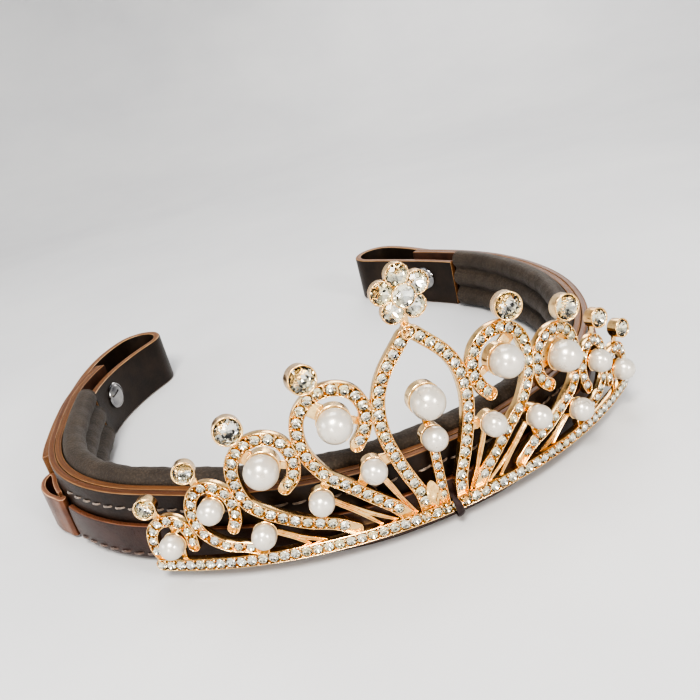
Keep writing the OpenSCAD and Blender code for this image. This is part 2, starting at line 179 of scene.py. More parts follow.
def rounded(corners, seg=5):
    """Outline through corners (x, y, radius), each corner turned into an arc."""
    out, n = [], len(corners)
    for i in range(n):
        p = np.array(corners[i][:2], float)
        r = corners[i][2]
        a = np.array(corners[i - 1][:2], float) - p
        b = np.array(corners[(i + 1) % n][:2], float) - p
        a, b = a / np.linalg.norm(a), b / np.linalg.norm(b)
        if r <= 0:
            out.append(p)
            continue
        half = math.acos(max(-1, min(1, float(a @ b)))) / 2
        c = p + (a + b) / np.linalg.norm(a + b) * r / math.sin(half)
        t0, t1 = p + a * r / math.tan(half) - c, p + b * r / math.tan(half) - c
        a0 = math.atan2(t0[1], t0[0])
        da = (math.atan2(t1[1], t1[0]) - a0 + math.pi) % (2 * math.pi) - math.pi
        out += [c + r * np.array([math.cos(a0 + da * k / seg), math.sin(a0 + da * k / seg)]) for k in range(seg + 1)]
    return np.array(out)


def normals2(o):
    """Outward normals of a closed outline that runs counter-clockwise."""
    e = np.roll(o, -1, 0) - o
    e = e / np.maximum(np.linalg.norm(e, axis=1, keepdims=True), 1e-9)
    n = np.stack([e[:, 1], -e[:, 0]], -1)
    n = n + np.roll(n, 1, 0)
    return n / np.maximum(np.linalg.norm(n, axis=1, keepdims=True), 1e-9)


def end_steps(length, step, r0, r1):
    """Places along a run and how far the section is drawn in there, so that both ends are rounded."""
    arc = np.radians([90, 62, 34, 12, 0])
    head = [(r0 * (1 - math.sin(t)), r0 * (1 - math.cos(t))) for t in arc]
    tail = [(length - r1 * (1 - math.sin(t)), r1 * (1 - math.cos(t))) for t in arc[::-1]]
    n = max(2, int(round((length - r0 - r1) / step)))
    return head + [(r0 + (length - r0 - r1) * i / n, 0.0) for i in range(1, n)] + tail


def strap(path, layer, thick, z0, z1, r, step=1.6, r_end=0.6, r_tail=None, crown=0.0, run0=0.0):
    """Leather strap on edge: its middle line runs along a plan path, its section is a rounded bar from z0 to z1."""
    path = np.asarray(path, float)
    ln = lengths(path)
    t2 = thick / 2
    o = rounded([(-t2, z0, r), (t2, z0, r), (t2, z1, r), (-t2, z1, r)])
    if crown:
        zc, zh = (z0 + z1) / 2, (z1 - z0) / 2
        add = []
        for k in range(1, 6):
            add.append((t2 + crown * (1 - ((z0 + (z1 - z0) * k / 6 - zc) / zh) ** 2), z0 + (z1 - z0) * k / 6))
        i = 2 * 6
        o = np.vstack([o[:i], np.array(add), o[i:]])
    nn = normals2(o)
    edge = np.clip(np.abs(nn[:, 1]), 0, 1)
    bag, rings, sdz, ed = Bag(), [], [], []
    for u, e in end_steps(ln[-1], step, r_end, r_end if r_tail is None else r_tail):
        p = np.array([np.interp(u, ln, path[:, k]) for k in (0, 1)])
        d = np.array([np.interp(u + 0.7, ln, path[:, k]) - np.interp(u - 0.7, ln, path[:, k]) for k in (0, 1)])
        d /= np.linalg.norm(d)
        side = np.array([d[1], -d[0]])
        q = o - nn * e
        rings.append(np.column_stack([p[0] + side[0] * q[:, 0], p[1] + side[1] * q[:, 0], q[:, 1]]))
        sdz.append(np.column_stack([np.full(len(q), run0 + u), layer + q[:, 0], q[:, 1]]))
        ed.append(np.maximum(edge, min(1.0, e / 0.3)))
    k = len(o)
    f = bridge(len(rings), k)
    f += [list(range(k))[::-1], [(len(rings) - 1) * k + j for j in range(k)]]
    bag.add(np.vstack(rings), f, 0, np.vstack(sdz), np.concatenate(ed))
    return bag


def ribbon(path, w, rings, ncap=7):
    """Flat band along a path (run, height) with round ends, built of outlines at (inset, outwards)."""
    p = np.asarray(path, float)
    n = len(p)
    t = np.gradient(p, axis=0)
    t /= np.linalg.norm(t, axis=1, keepdims=True)
    lat = np.stack([t[:, 1], -t[:, 0]], -1)
    w = np.broadcast_to(np.asarray(w, float), (n,))
    phi = np.linspace(0, math.pi, ncap + 2)[1:-1]
    pts = []
    for e, h in rings:
        r = np.maximum(w / 2 - e, 0.03)
        left, right = p + lat * r[:, None], p - lat * r[:, None]
        end = [p[-1] + lat[-1] * r[-1] * math.cos(f) + t[-1] * r[-1] * math.sin(f) for f in phi]
        start = [p[0] - lat[0] * r[0] * math.cos(f) - t[0] * r[0] * math.sin(f) for f in phi]
        ring = np.vstack([left, end, right[::-1], start])
        pts.append(np.column_stack([ring, np.full(len(ring), h)]))
    k = 2 * n + 2 * ncap
    f = bridge(len(rings), k)
    for base, flip in ((0, True), ((len(rings) - 1) * k, False)):
        right = [base + n + ncap + (n - 1 - i) for i in range(n)]
        quads = [[base + i, base + i + 1, right[i + 1], right[i]] for i in range(n - 1)]
        quads.append([base + n - 1] + [base + n + j for j in range(ncap)] + [right[n - 1]])
        quads.append([right[0]] + [base + 2 * n + ncap + j for j in range(ncap)] + [base])
        f += [q[::-1] for q in quads] if flip else quads
    return np.vstack(pts), f


def lathe(profile, seg, loop=False):
    v, f, rings = [], [], []
    for r, z in profile:
        if r < 1e-6:
            rings.append([len(v)])
            v.append((0, 0, z))
        else:
            rings.append(list(range(len(v), len(v) + seg)))
            v += [(r * math.cos(2 * math.pi * j / seg), r * math.sin(2 * math.pi * j / seg), z) for j in range(seg)]
    pairs = list(zip(rings, rings[1:])) + ([(rings[-1], rings[0])] if loop else [])
    for a, b in pairs:
        for j in range(seg):
            k = (j + 1) % seg
            if len(a) == 1 and len(b) == 1:
                break
            if len(a) == 1:
                f.append([a[0], b[k], b[j]])
            elif len(b) == 1:
                f.append([a[j], a[k], b[0]])
            else:
                f.append([a[j], a[k], b[k], b[j]])
    return np.array(v), f


def tube(points, radius, sides=10, flat=1.0, up=(0, 0, 1), twist=0.0, dome=True):
    """Round or flattened bar along points, with domed ends."""
    p = np.asarray(points, float)
    r = np.broadcast_to(np.asarray(radius, float), (len(p),)).copy()
    t = np.gradient(p, axis=0)
    t /= np.linalg.norm(t, axis=1, keepdims=True)
    if dome:
        a, b = np.radians([68, 40, 18]), np.radians([18, 40, 68])
        head = [p[0] - t[0] * r[0] * math.sin(x) for x in a]
        tail = [p[-1] + t[-1] * r[-1] * math.sin(x) for x in b]
        p = np.vstack([head, p, tail])
        t = np.vstack([[t[0]] * 3, t, [t[-1]] * 3])
        r = np.r_[[r[0] * math.cos(x) for x in a], r, [r[-1] * math.cos(x) for x in b]]
    u = np.array(up, float)
    u = u - t[0] * (u @ t[0])
    u /= np.linalg.norm(u)
    rings = []
    for i in range(len(p)):
        u = u - t[i] * (u @ t[i])
        u /= np.linalg.norm(u)
        w = np.cross(t[i], u)
        ang = np.arange(sides) * 2 * math.pi / sides
        c, s = np.cos(ang) * flat, np.sin(ang)
        tw = twist * i / max(1, len(p) - 1)
        c, s = c * math.cos(tw) - s * math.sin(tw), c * math.sin(tw) + s * math.cos(tw)
        rings.append(p[i] + r[i] * (c[:, None] * u + s[:, None] * w))
    f = bridge(len(rings), sides)
    f += [list(range(sides))[::-1], [(len(rings) - 1) * sides + j for j in range(sides)]]
    return np.vstack(rings), f


def ball(r, seg=10, rows=6):
    prof = [(r * math.sin(math.pi * i / rows), -r * math.cos(math.pi * i / rows)) for i in range(rows + 1)]
    prof[0], prof[-1] = (0, -r), (0, r)
    return lathe(prof, seg)


def brilliant(r, depth=0.62, crown=0.34, table=0.56):
    """Round faceted stone: table, stars, kites, girdle and pavilion. Face kinds: 0 crown, 1 back."""
    v, f, kind = [], [], []
    ang = lambda k: math.pi / 8 * k
    ring = lambda rad, z, ks: [(rad * math.cos(ang(k)), rad * math.sin(ang(k)), z) for k in ks]
    rs = 0.79
    x = rs * math.cos(math.pi / 8)
    hs = crown * (1 - x) / (1 - table)
    v += ring(table, crown, range(0, 16, 2))
    v += ring(rs, hs, range(1, 16, 2))
    v += ring(1, 0.0, range(16))
    v += ring(1, -0.06, range(16))
    tip = 0.3
    v += ring(tip, -0.06 - (depth - 0.06) * (1 - tip * math.cos(math.pi / 8)), range(1, 16, 2))
    v.append((0, 0, -depth))
    T, S, G, H, L, C = 0, 8, 16, 32, 48, 56
    f.append([T + k for k in range(8)])
    kind.append(0)
    for k in range(8):
        k1 = (k + 1) % 8
        f += [[T + k, S + k, T + k1], [T + k, S + (k - 1) % 8, G + 2 * k, S + k],
              [S + k, G + 2 * k, G + 2 * k + 1], [S + k, G + 2 * k + 1, G + (2 * k + 2) % 16]]
        kind += [0] * 4
        f += [[G + 2 * k, H + 2 * k, H + 2 * k + 1, G + 2 * k + 1], [G + 2 * k + 1, H + 2 * k + 1, H + (2 * k + 2) % 16, G + (2 * k + 2) % 16]]
        f += [[L + k, H + 2 * k + 1, H + 2 * k], [L + k, H + (2 * k + 2) % 16, H + 2 * k + 1], [C, L + k, H + 2 * k, L + (k - 1) % 8]]
        kind += [1] * 5
    return np.array(v) * r, f, kind


def turned(v, spin, tilt_x=0.0, tilt_y=0.0):
    m = Matrix.Rotation(tilt_x, 3, "X") @ Matrix.Rotation(tilt_y, 3, "Y") @ Matrix.Rotation(spin, 3, "Z")
    return np.asarray(v) @ np.array(m).T


# ------------------------------------------------------------------ materials
def srgb(r, g, b):
    return tuple(((x / 255 + 0.055) / 1.055) ** 2.4 if x > 10 else x / 255 / 12.92 for x in (r, g, b)) + (1.0,)


class Mat:
    """Small builder of node materials."""

    def __init__(self, name):
        self.m = bpy.data.materials.new(name)
        self.m.use_nodes = True
        self.t = self.m.node_tree
        self.t.nodes.clear()
        self.out = self.t.nodes.new("ShaderNodeOutputMaterial")
        self.b = self.t.nodes.new("ShaderNodeBsdfPrincipled")
        self.t.links.new(self.b.outputs[0], self.out.inputs[0])

    def n(self, kind, ins=None, **props):
        x = self.t.nodes.new("ShaderNode" + kind)
        for k, v in props.items():
            setattr(x, k, v)
        for k, v in (ins or {}).items():
            self.put(x.inputs[k], v)
        return x

    def put(self, socket, v):
        if isinstance(v, bpy.types.NodeSocket):
            self.t.links.new(v, socket)
        else:
            socket.default_value = v

    def set(self, **ins):
        for k, v in ins.items():
            self.put(self.b.inputs[k.replace("_", " ")], v)
        return self

    def attr(self, name):
        x = self.n("Attribute", attribute_name=name)
        return x.outputs["Fac"] if name == "edge" else x.outputs["Vector"]

    def obj(self):
        return self.n("TexCoord").outputs["Object"]

    def scaled(self, vec, sc):
        return self.n("Mapping", {"Vector": vec, "Scale": sc}).outputs[0]

    def noise(self, vec, scale, detail=4.0, rough=0.55, dist=0.0):
        return self.n("TexNoise", {"Vector": vec, "Scale": scale, "Detail": detail, "Roughness": rough, "Distortion": dist}).outputs[0]

    def voronoi(self, vec, scale, feature="F1", rnd=1.0):
        return self.n("TexVoronoi", {"Vector": vec, "Scale": scale, "Randomness": rnd}, feature=feature).outputs["Distance"]

    def ramp(self, fac, *stops):
        x = self.n("ValToRGB", {"Fac": fac})
        e = x.color_ramp.elements
        while len(e) < len(stops):
            e.new(0.5)
        for el, (p, c) in zip(e, stops):
            el.position = p
            el.color = c if hasattr(c, "__len__") else (c, c, c, 1)
        return x.outputs[0]

    def mix(self, fac, a, b, mode="MIX"):
        x = self.n("Mix", data_type="RGBA", blend_type=mode)
        self.put(x.inputs[0], fac)
        self.put(x.inputs[6], a)
        self.put(x.inputs[7], b)
        return x.outputs[2]

    def math(self, op, a, b=0.0, c=None):
        x = self.n("Math", operation=op)
        self.put(x.inputs[0], a)
        self.put(x.inputs[1], b)
        if c is not None:
            self.put(x.inputs[2], c)
        return x.outputs[0]

    def range(self, v, a, b, c, d):
        return self.n("MapRange", {"Value": v, "From Min": a, "From Max": b, "To Min": c, "To Max": d}).outputs[0]

    def bump(self, height, strength, dist, normal=None):
        x = self.n("Bump", {"Height": height, "Strength": strength, "Distance": dist})
        if normal is not None:
            self.put(x.inputs["Normal"], normal)
        self.put(self.b.inputs["Normal"], x.outputs[0])
        return x.outputs[0]


def leather(name, face, face2, edge, edge2, wear_and_highlight, rough=0.42, pores=2.0, depth=0.10, coat=0.06, wear_and_highlight_amount=0.5):
    """Finished strap leather: pored, mottled faces and burnished cut edges with streaks along the strap."""
    m = Mat(name)
    sdz, e = m.attr("sdz"), m.attr("edge")
    mott = m.noise(sdz, 0.16, 5.0, 0.6)
    fine = m.noise(sdz, 2.6, 3.0, 0.6)
    crease = m.noise(m.scaled(sdz, (0.22, 0.6, 0.75)), 1.0, 6.0, 0.65, 0.8)
    streak = m.noise(m.scaled(sdz, (0.035, 2.6, 2.6)), 1.0, 4.0, 0.6)
    lam = m.noise(m.scaled(sdz, (0.02, 1.15, 0.4)), 1.0, 2.0, 0.5)
    fcol = m.mix(m.ramp(mott, (0.36, 0.0), (0.66, 1.0)), face, face2)
    fcol = m.mix(m.ramp(fine, (0.3, 0.75), (0.7, 1.0)), (0, 0, 0, 1), fcol)
    ecol = m.mix(m.ramp(streak, (0.32, 0.0), (0.68, 1.0)), edge2, edge)
    ecol = m.mix(m.ramp(lam, (0.44, 0.0), (0.50, 0.55), (0.56, 0.0)), ecol, edge2)
    k = m.ramp(m.math("ADD", e, m.math("MULTIPLY", m.math("SUBTRACT", fine, 0.5), 0.22)), (0.50, 0.0), (0.74, 1.0))
    col = m.mix(k, fcol, ecol)
    # paler line along the rounded corner: rubbed wear with a painted highlight
    rub_and_highlight = m.ramp(e, (0.52, 0.0), (0.70, 1.0), (0.86, 1.0), (0.97, 0.0))
    rub_and_highlight = m.math("MULTIPLY", rub_and_highlight, m.range(mott, 0.35, 0.7, 0.25 * wear_and_highlight_amount, wear_and_highlight_amount))
    col = m.mix(rub_and_highlight, col, wear_and_highlight)
    vor = m.voronoi(sdz, pores)
    grain = m.math("ADD", m.math("MULTIPLY", vor, 0.55), m.math("MULTIPLY", m.noise(sdz, pores * 2.4, 3.0), 0.45))
    h = m.math("ADD", m.math("MULTIPLY", grain, m.range(k, 0, 1, 1.0, 0.15)), m.math("MULTIPLY", streak, m.range(k, 0, 1, 0.0, 1.3)))
    h = m.math("ADD", h, m.math("MULTIPLY", crease, 1.1))
    m.set(Base_Color=col, Roughness=m.math("ADD", m.range(fine, 0.3, 0.7, rough - 0.07, rough + 0.09), m.range(k, 0, 1, 0.0, -0.02)),
          Specular_IOR_Level=0.26, Coat_Weight=coat, Coat_Roughness=0.28)
    m.bump(h, 0.55, depth * MM)
    return m.m


def soft_leather(name, col, col2, painted_shade):
    """Thin lining leather: small pebbled grain, matt."""
    m = Mat(name)
    sdz = m.attr("sdz")
    big = m.noise(sdz, 0.10, 5.0, 0.6)
    fine = m.noise(sdz, 3.2, 4.0, 0.62)
    peb = m.voronoi(sdz, 1.55)
    peb2 = m.voronoi(sdz, 2.9)
    c = m.mix(m.ramp(big, (0.34, 0.0), (0.68, 1.0)), col, col2)
    # painted shade: the shade colour is laid into the pebble hollows and into the low spots of the fine noise, where
    # the bump sinks
    c = m.mix(m.ramp(peb, (0.10, 0.0), (0.62, 0.55)), c, painted_shade)
    c = m.mix(m.ramp(fine, (0.36, 0.28), (0.6, 0.0)), c, painted_shade)
    fold = m.noise(m.scaled(sdz, (0.55, 0.35, 0.16)), 1.0, 5.0, 0.6, 0.6)
    h = m.math("ADD", m.math("MULTIPLY", peb, -0.8), m.math("MULTIPLY", peb2, -0.5))
    h = m.math("ADD", h, m.math("ADD", m.math("MULTIPLY", fine, 0.5), m.math("MULTIPLY", fold, 1.2)))
    m.set(Base_Color=c, Roughness=m.range(fine, 0.3, 0.7, 0.50, 0.68), Specular_IOR_Level=0.35, Sheen_Weight=0.05, Sheen_Roughness=0.45)
    m.bump(h, 0.6, 0.16 * MM)
    return m.m


def gold(name, a, b, painted_shade, rough=0.16):
    """Plated casting: polished but pitted, redder and yellower by turns, with painted shade darkening its pits and the
    dips of its bump.
    """
    m = Mat(name)
    o = m.obj()
    big = m.noise(o, 170.0, 4.0, 0.6)
    mid = m.noise(o, 620.0, 4.0, 0.65)
    fine = m.noise(o, 2400.0, 3.0, 0.6)
    pits = m.ramp(m.voronoi(o, 950.0), (0.06, 1.0), (0.30, 0.0))
    c = m.mix(m.ramp(big, (0.36, 0.0), (0.66, 1.0)), a, b)
    # painted shade: the shade colour goes into the low spots of the bump and, more lightly, into the pits
    c = m.mix(m.ramp(mid, (0.30, 0.5), (0.48, 0.0)), c, painted_shade)
    c = m.mix(m.math("MULTIPLY", pits, 0.35), c, painted_shade)
    m.set(Base_Color=c, Metallic=1.0, Roughness=m.range(mid, 0.3, 0.7, rough - 0.05, rough + 0.12))
    h = m.math("ADD", m.math("ADD", mid, m.math("MULTIPLY", fine, 0.35)), m.math("MULTIPLY", pits, -0.5))
    m.bump(h, 0.45, 0.07 * MM)
    return m.m


def crystal(name):
    m = Mat(name)
    o = m.obj()
    c = m.mix(m.ramp(m.noise(o, 420.0, 2.0), (0.38, 0.0), (0.64, 1.0)), (1.0, 0.995, 0.975, 1), (0.955, 0.985, 1.0, 1))
    m.set(Base_Color=c, Roughness=m.range(m.noise(o, 1800.0, 2.0), 0.3, 0.7, 0.0, 0.015), Transmission_Weight=1.0, IOR=1.56)
    return m.m


def foil(name):
    """Mirror coat on the back of a stone, with a faint warm and cool cast from stone to stone."""
    m = Mat(name)
    o = m.obj()
    c = m.ramp(m.noise(o, 330.0, 2.0), (0.34, (0.97, 0.88, 0.60, 1)), (0.46, (0.96, 0.92, 0.78, 1)), (0.66, (0.92, 0.91, 0.86, 1)))
    m.set(Base_Color=c, Metallic=1.0, Roughness=m.range(m.noise(o, 900.0, 2.0), 0.3, 0.7, 0.0, 0.04))
    return m.m


def nacre(name):
    m = Mat(name)
    o = m.obj()
    cloud = m.noise(o, 240.0, 4.0, 0.6, 0.5)
    c = m.ramp(cloud, (0.30, srgb(197, 188, 175)), (0.52, srgb(207, 200, 189)), (0.72, srgb(200, 197, 189)))
    m.set(Base_Color=c, Metallic=0.38, Roughness=m.range(cloud, 0.3, 0.7, 0.26, 0.34), Specular_IOR_Level=0.5, Coat_Weight=0.8, Coat_Roughness=0.06)
    m.bump(m.noise(o, 1500.0, 3.0), 0.12, 0.02 * MM)
    return m.m


def nickel(name):
    m = Mat(name)
    o = m.obj()
    c = m.ramp(m.noise(o, 300.0, 4.0), (0.32, (0.24, 0.24, 0.25, 1)), (0.66, (0.42, 0.41, 0.40, 1)))
    m.set(Base_Color=c, Metallic=1.0, Roughness=m.range(m.noise(m.scaled(o, (1, 1, 8)), 500.0, 5.0), 0.3, 0.7, 0.07, 0.2))
    m.bump(m.noise(o, 900.0, 3.0), 0.1, 0.02 * MM)
    return m.m


def cotton(name, a, b):
    """Waxed thread: plies as slanting ridges, with a painted highlight on their tops and painted shade in the grooves
    between them, darkened further in random dirty patches.
    """
    m = Mat(name)
    sdz = m.attr("sdz")
    ply = m.n("TexWave", {"Vector": m.scaled(sdz, (1.0, 0.9, 1.4)), "Scale": 0.62, "Distortion": 1.2, "Detail": 2.0, "Detail Scale": 2.0},
              wave_type="BANDS", bands_direction="DIAGONAL").outputs[1]
    dirt = m.noise(sdz, 0.7, 5.0, 0.65)
    # painted highlight and shade: the paler colour goes on the ridges of the plies, the darker one in the grooves
    # between them
    c = m.mix(m.ramp(ply, (0.15, 0.0), (0.7, 1.0)), b, a)
    c = m.mix(m.ramp(dirt, (0.36, 0.7), (0.62, 0.0)), c, tuple(x * 0.35 for x in b[:3]) + (1,))
    m.set(Base_Color=c, Roughness=m.range(dirt, 0.3, 0.7, 0.55, 0.8), Sheen_Weight=0.3, Sheen_Roughness=0.5)
    m.bump(m.math("ADD", ply, m.math("MULTIPLY", m.noise(sdz, 9.0, 3.0), 0.5)), 0.6, 0.12 * MM)
    return m.m


def foam_mat(name):
    m = Mat(name)
    o = m.obj()
    v = m.voronoi(o, 1400.0)
    # painted shade: darker where the cells dip, following the bump
    c = m.ramp(v, (0.1, srgb(150, 146, 136)), (0.6, srgb(206, 200, 188)))
    m.set(Base_Color=c, Roughness=m.range(v, 0, 0.6, 0.75, 0.95))
    m.bump(v, 0.6, 0.2 * MM)
    return m.m


# the wear colours give the rounded edge corners rubbed wear and a painted highlight
TAN, TAN2, TAN_WEAR_AND_HIGHLIGHT = srgb(126, 84, 48), srgb(75, 47, 31), srgb(184, 145, 102)
M_BACK = leather("strap_leather_inner", srgb(78, 50, 36), srgb(56, 36, 27), TAN, TAN2, TAN_WEAR_AND_HIGHLIGHT, rough=0.44)
M_FACE = leather("strap_leather_dark", srgb(44, 31, 23), srgb(28, 19, 15), srgb(116, 76, 44), srgb(74, 43, 30), TAN_WEAR_AND_HIGHLIGHT, rough=0.38)
M_OVER = leather("overlay_leather_red", srgb(60, 41, 36), srgb(42, 28, 25), srgb(120, 74, 48), srgb(74, 44, 31), srgb(168, 116, 84), rough=0.32, coat=0.12)
M_LOOP = leather("loop_leather_dark", srgb(48, 36, 27), srgb(32, 24, 18), srgb(134, 93, 57), srgb(88, 56, 36), srgb(204, 166, 122), rough=0.40, wear_and_highlight_amount=0.7)
M_KEEP = leather("keeper_leather", srgb(118, 76, 52), srgb(82, 51, 37), srgb(150, 100, 68), srgb(98, 62, 44), srgb(222, 184, 150), rough=0.34, coat=0.25, wear_and_highlight_amount=0.8)
M_LACE = leather("lace_leather", srgb(54, 38, 36), srgb(34, 24, 24), srgb(58, 40, 38), srgb(38, 27, 26), srgb(92, 70, 64), rough=0.45, pores=3.0)
M_LINE = soft_leather("lining_leather_taupe", srgb(82, 70, 58), srgb(60, 50, 41), srgb(30, 25, 21))
M_GOLD = gold("rose_gold_plate", (0.92, 0.57, 0.25, 1), (0.97, 0.71, 0.37, 1), (0.42, 0.18, 0.06, 1))
M_LEAF = gold("leaf_gold_plate", (0.92, 0.60, 0.26, 1), (0.96, 0.71, 0.36, 1), (0.42, 0.18, 0.06, 1), rough=0.22)
M_CRYS = crystal("crystal_clear")
M_FOIL = foil("crystal_foil")
M_PEARL = nacre("pearl_nacre")
M_NICK = nickel("nickel_plate")
M_THREAD = cotton("thread_pale", srgb(156, 138, 122), srgb(104, 88, 77))
# a darker copy of the pale thread, for the lower row of stitches
M_THREAD_LOW = cotton("thread_darker", srgb(122, 96, 82), srgb(82, 62, 53))
M_FOAM = foam_mat("padding_foam")

# ------------------------------------------------------------------ band: strap, overlay, lining
runs = np.arange(-184.0, 184.01, 1.0)
strap(off(runs, np.full(len(runs), 4.325)), 4.3, 2.05, 0.0, 20.5, 0.42, r_end=0.5, run0=-184).make(
    "strap_backing_leather", [M_BACK], sharp=50, replaces=["strap_backing"], slot="tan_leather")
strap(off(runs, np.full(len(runs), 6.375)), 6.4, 2.05, 0.0, 20.45, 0.55, r_end=0.5, run0=-184).make(
    "strap_face_leather", [M_FACE], sharp=50, replaces=["strap_face"], slot="dark_leather")
runs = np.arange(-104.0, 104.01, 1.0)
strap(off(runs, np.full(len(runs), 8.22)), 8.2, 1.64, 1.5, 11.7, 0.58, r_end=0.5, crown=0.22, run0=-104).make(
    "overlay_strip_leather", [M_OVER], sharp=50, replaces=["overlay_strip"], slot="red_leather")


def lobe(o, z, r, a0, a1, n):
    a = np.radians(np.linspace(a0, a1, n))
    return np.column_stack([o + r * np.cos(a), z + r * np.sin(a)])


def lining_section():
    """Flat against the strap, rolled over its top edge, two soft rolls inside with sewn valleys between."""
    pts = np.vstack([
        [[3.0, 0.62], [3.18, 1.0], [3.2, 4], [3.2, 8], [3.2, 12], [3.2, 15], [3.2, 16.6], [3.12, 17.5]],
        lobe(-0.2, 19.5, 3.35, -22, 214, 22),
        [[-2.25, 16.75], [-2.0, 16.25], [-2.35, 15.75]],
        lobe(-0.6, 12.45, 3.75, 128, 232, 11),
        [[-2.25, 8.95], [-2.0, 8.5], [-2.3, 8.05]],
        lobe(-0.6, 4.4, 3.9, 128, 236, 11),
        [[-1.7, 0.75], [-0.6, 0.42], [1.2, 0.36], [2.4, 0.40]],
    ])
    return pts


SEC = lining_section()
SEC_N = normals2(SEC)
if np.sum(SEC[:, 0] * np.roll(SEC[:, 1], -1) - SEC[:, 1] * np.roll(SEC[:, 0], -1)) < 0:
    SEC_N = -SEC_N


def lining():
    bag, rings, sdz = Bag(), [], []
    length, r = 317.4, 1.1
    for u, e in end_steps(length, 1.3, r, r):
        s = -158.7 + u
        soft = 0.10 * math.sin(0.41 * s + 1.1) + 0.07 * math.sin(0.93 * s) + 0.05 * math.sin(1.9 * s + 0.6)
        inner = np.clip((1.5 - SEC[:, 0]) / 4.0, 0, 1)
        q = SEC - SEC_N * (e * np.clip(0.35 + inner, 0, 1))[:, None] + SEC_N * (inner * soft)[:, None] * (1 if e == 0 else 0.3)
        p = off(np.full(len(q), s), q[:, 0])
        rings.append(np.column_stack([p, np.maximum(q[:, 1], 0.25)]))
        sdz.append(np.column_stack([np.full(len(q), s), q[:, 0], q[:, 1]]))
    k = len(SEC)
    f = bridge(len(rings), k) + [list(range(k))[::-1], [(len(rings) - 1) * k + j for j in range(k)]]
    bag.add(np.vstack(rings), f, 0, np.vstack(sdz))
    ob = bag.make("lining_pad", [M_LINE], sharp=75, replaces=["lining_sleeve"], slot="lining_leather")
    return ob


lining()


# ------------------------------------------------------------------ end loops, keepers, press studs
def fold_path(k):
    """Middle line of a loop strap: outer leaf, fold, returning flap."""
    run = np.arange(124.0, 207.01, 1.0)
    u = np.clip((run - 165) / 42, 0, 1)
    leaf = off(k * run, 8.8 + 8 * u * u * (3 - 2 * u))
    c = off(np.array([k * 207.0]), np.array([8.1]))[0]
    t, n = k * along(k * 207.0), outward(k * 207.0)
    a = np.radians(np.arange(6, 180, 6))
    arc = np.array([c + 8.7 * (n * math.cos(x) + t * math.sin(x)) for x in a])
    s = k * np.arange(207.0, 160.99, -1.0)
    return leaf, arc, off(s, np.full(len(s), -0.6))


for side, k in (("left", -1), ("right", 1)):
    LEAF, ARC, FLAP = fold_path(k)
    split = 77
    bag = strap(LEAF[: split + 1], 8.8, 2.55, 0.02, 18.5, 0.55, r_end=0.6, r_tail=0.02, run0=400)
    bag.make(f"loop_leaf_{side}", [M_LOOP], sharp=50, replaces=[f"loop_strap_{side}"], slot="dark_leather")
    path = np.vstack([LEAF[split:], ARC, FLAP])
    bag = strap(path, 8.8, 2.55, 0.02, 18.5, 0.55, step=1.1, r_end=0.02, r_tail=0.6, run0=400 + split)
    ob = bag.make(f"loop_flap_leather_{side}", [M_LOOP], sharp=50, replaces=[f"loop_flap_{side}"], slot="dark_leather", ride=False)
    t, n = k * along(k * 207.0), outward(k * 207.0)
    a = (off(np.array([k * 207.0]), np.array([0.0]))[0] + np.array([t * 1.5 - n * 0.6, t * -2.25 - n * 2.77])) * MM
    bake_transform(ob)

    sd = spline([[107.2, 8.45], [105.9, 8.75], [106.3, 9.4], [108.8, 10.1], [112.2, 11.2], [116.4, 11.8], [120.0, 11.3], [122.1, 9.9], [122.0, 8.8],
                 [120.3, 8.4], [115, 8.38], [110.4, 8.38]], 8)
    strap(off(k * sd[:, 0], sd[:, 1]), 9.0, 1.55, 0.8, 13.3, 0.5, step=0.5, r_end=0.4, run0=600).make(
        f"keeper_leather_{side}", [M_KEEP], sharp=55, replaces=[f"keeper_{side}"], slot="red_leather")

    prof = [(0, 0.2), (0.9, 0.2), (1.25, 0.12), (1.25, -0.1), (4.3, -0.1), (4.72, -0.2), (4.8, -0.48), (4.62, -0.80), (4.3, -0.98), (4.02, -1.02), (3.86, -0.98),
            (3.72, -1.10), (3.4, -1.42), (2.9, -1.72), (2.2, -2.0), (1.4, -2.16), (0.7, -2.22), (0, -2.24)]
    v, f = lathe(prof, 56)
    p = off(np.array([k * 176.0]), np.array([-1.9]))[0]
    t, n = along(k * 176.0), outward(k * 176.0)
    m = np.array([[t[0], t[1], 0], [0, 0, 1], [n[0], n[1], 0]])
    Bag().add(np.array([p[0], p[1], 11.0]) + v @ m, f).make(f"snap_dome_{side}", [M_NICK], body=f"flap_{side}", sharp=40,
                                                         replaces=[f"snap_cap_{side}"], slot="nickel")


# ------------------------------------------------------------------ stitches
def stitches(name, s1, d, z, skip, node, mat):
    bag = Bag()
    n = int(2 * s1 // 4)
    for i in range(n + 1):
        s0 = -s1 + i * 2 * s1 / n
        if skip and abs(s0 + 2) <= skip:
            continue
        u = np.linspace(-1, 1, 9)
        s = s0 + 1.5 * u + rng.normal(0, 0.04)
        lift = 0.30 * (1 - np.abs(u) ** 3.0) - 0.22 * np.abs(u) ** 6
        p = off(s, d + lift)
        zz = z + 0.20 * u + rng.normal(0, 0.06)
        v, f = tube(np.column_stack([p, zz]), 0.30 - 0.04 * np.abs(u) ** 2, 8, up=(0, 0, 1), twist=2.2)
        local = np.column_stack([v[:, 0] * 0 + s0, np.full(len(v), d), v[:, 2]])
        along_s = np.linspace(-1.5, 1.5, len(v) // 8).repeat(8)
        local[:, 0] += along_s
        ang = np.tile(np.arange(8) * 0.28, len(v) // 8)
        local[:, 1] += ang
        bag.add(v, f, 0, local)
    return bag.make(name, [mat], sharp=60, replaces=[node], slot="thread")


stitches("stitches_upper", 102, 7.42, 16.0, 0, "stitching_upper", M_THREAD)
stitches("stitches_lower", 100, 9.1, 3.0, 2.4, "stitching_lower", M_THREAD_LOW)

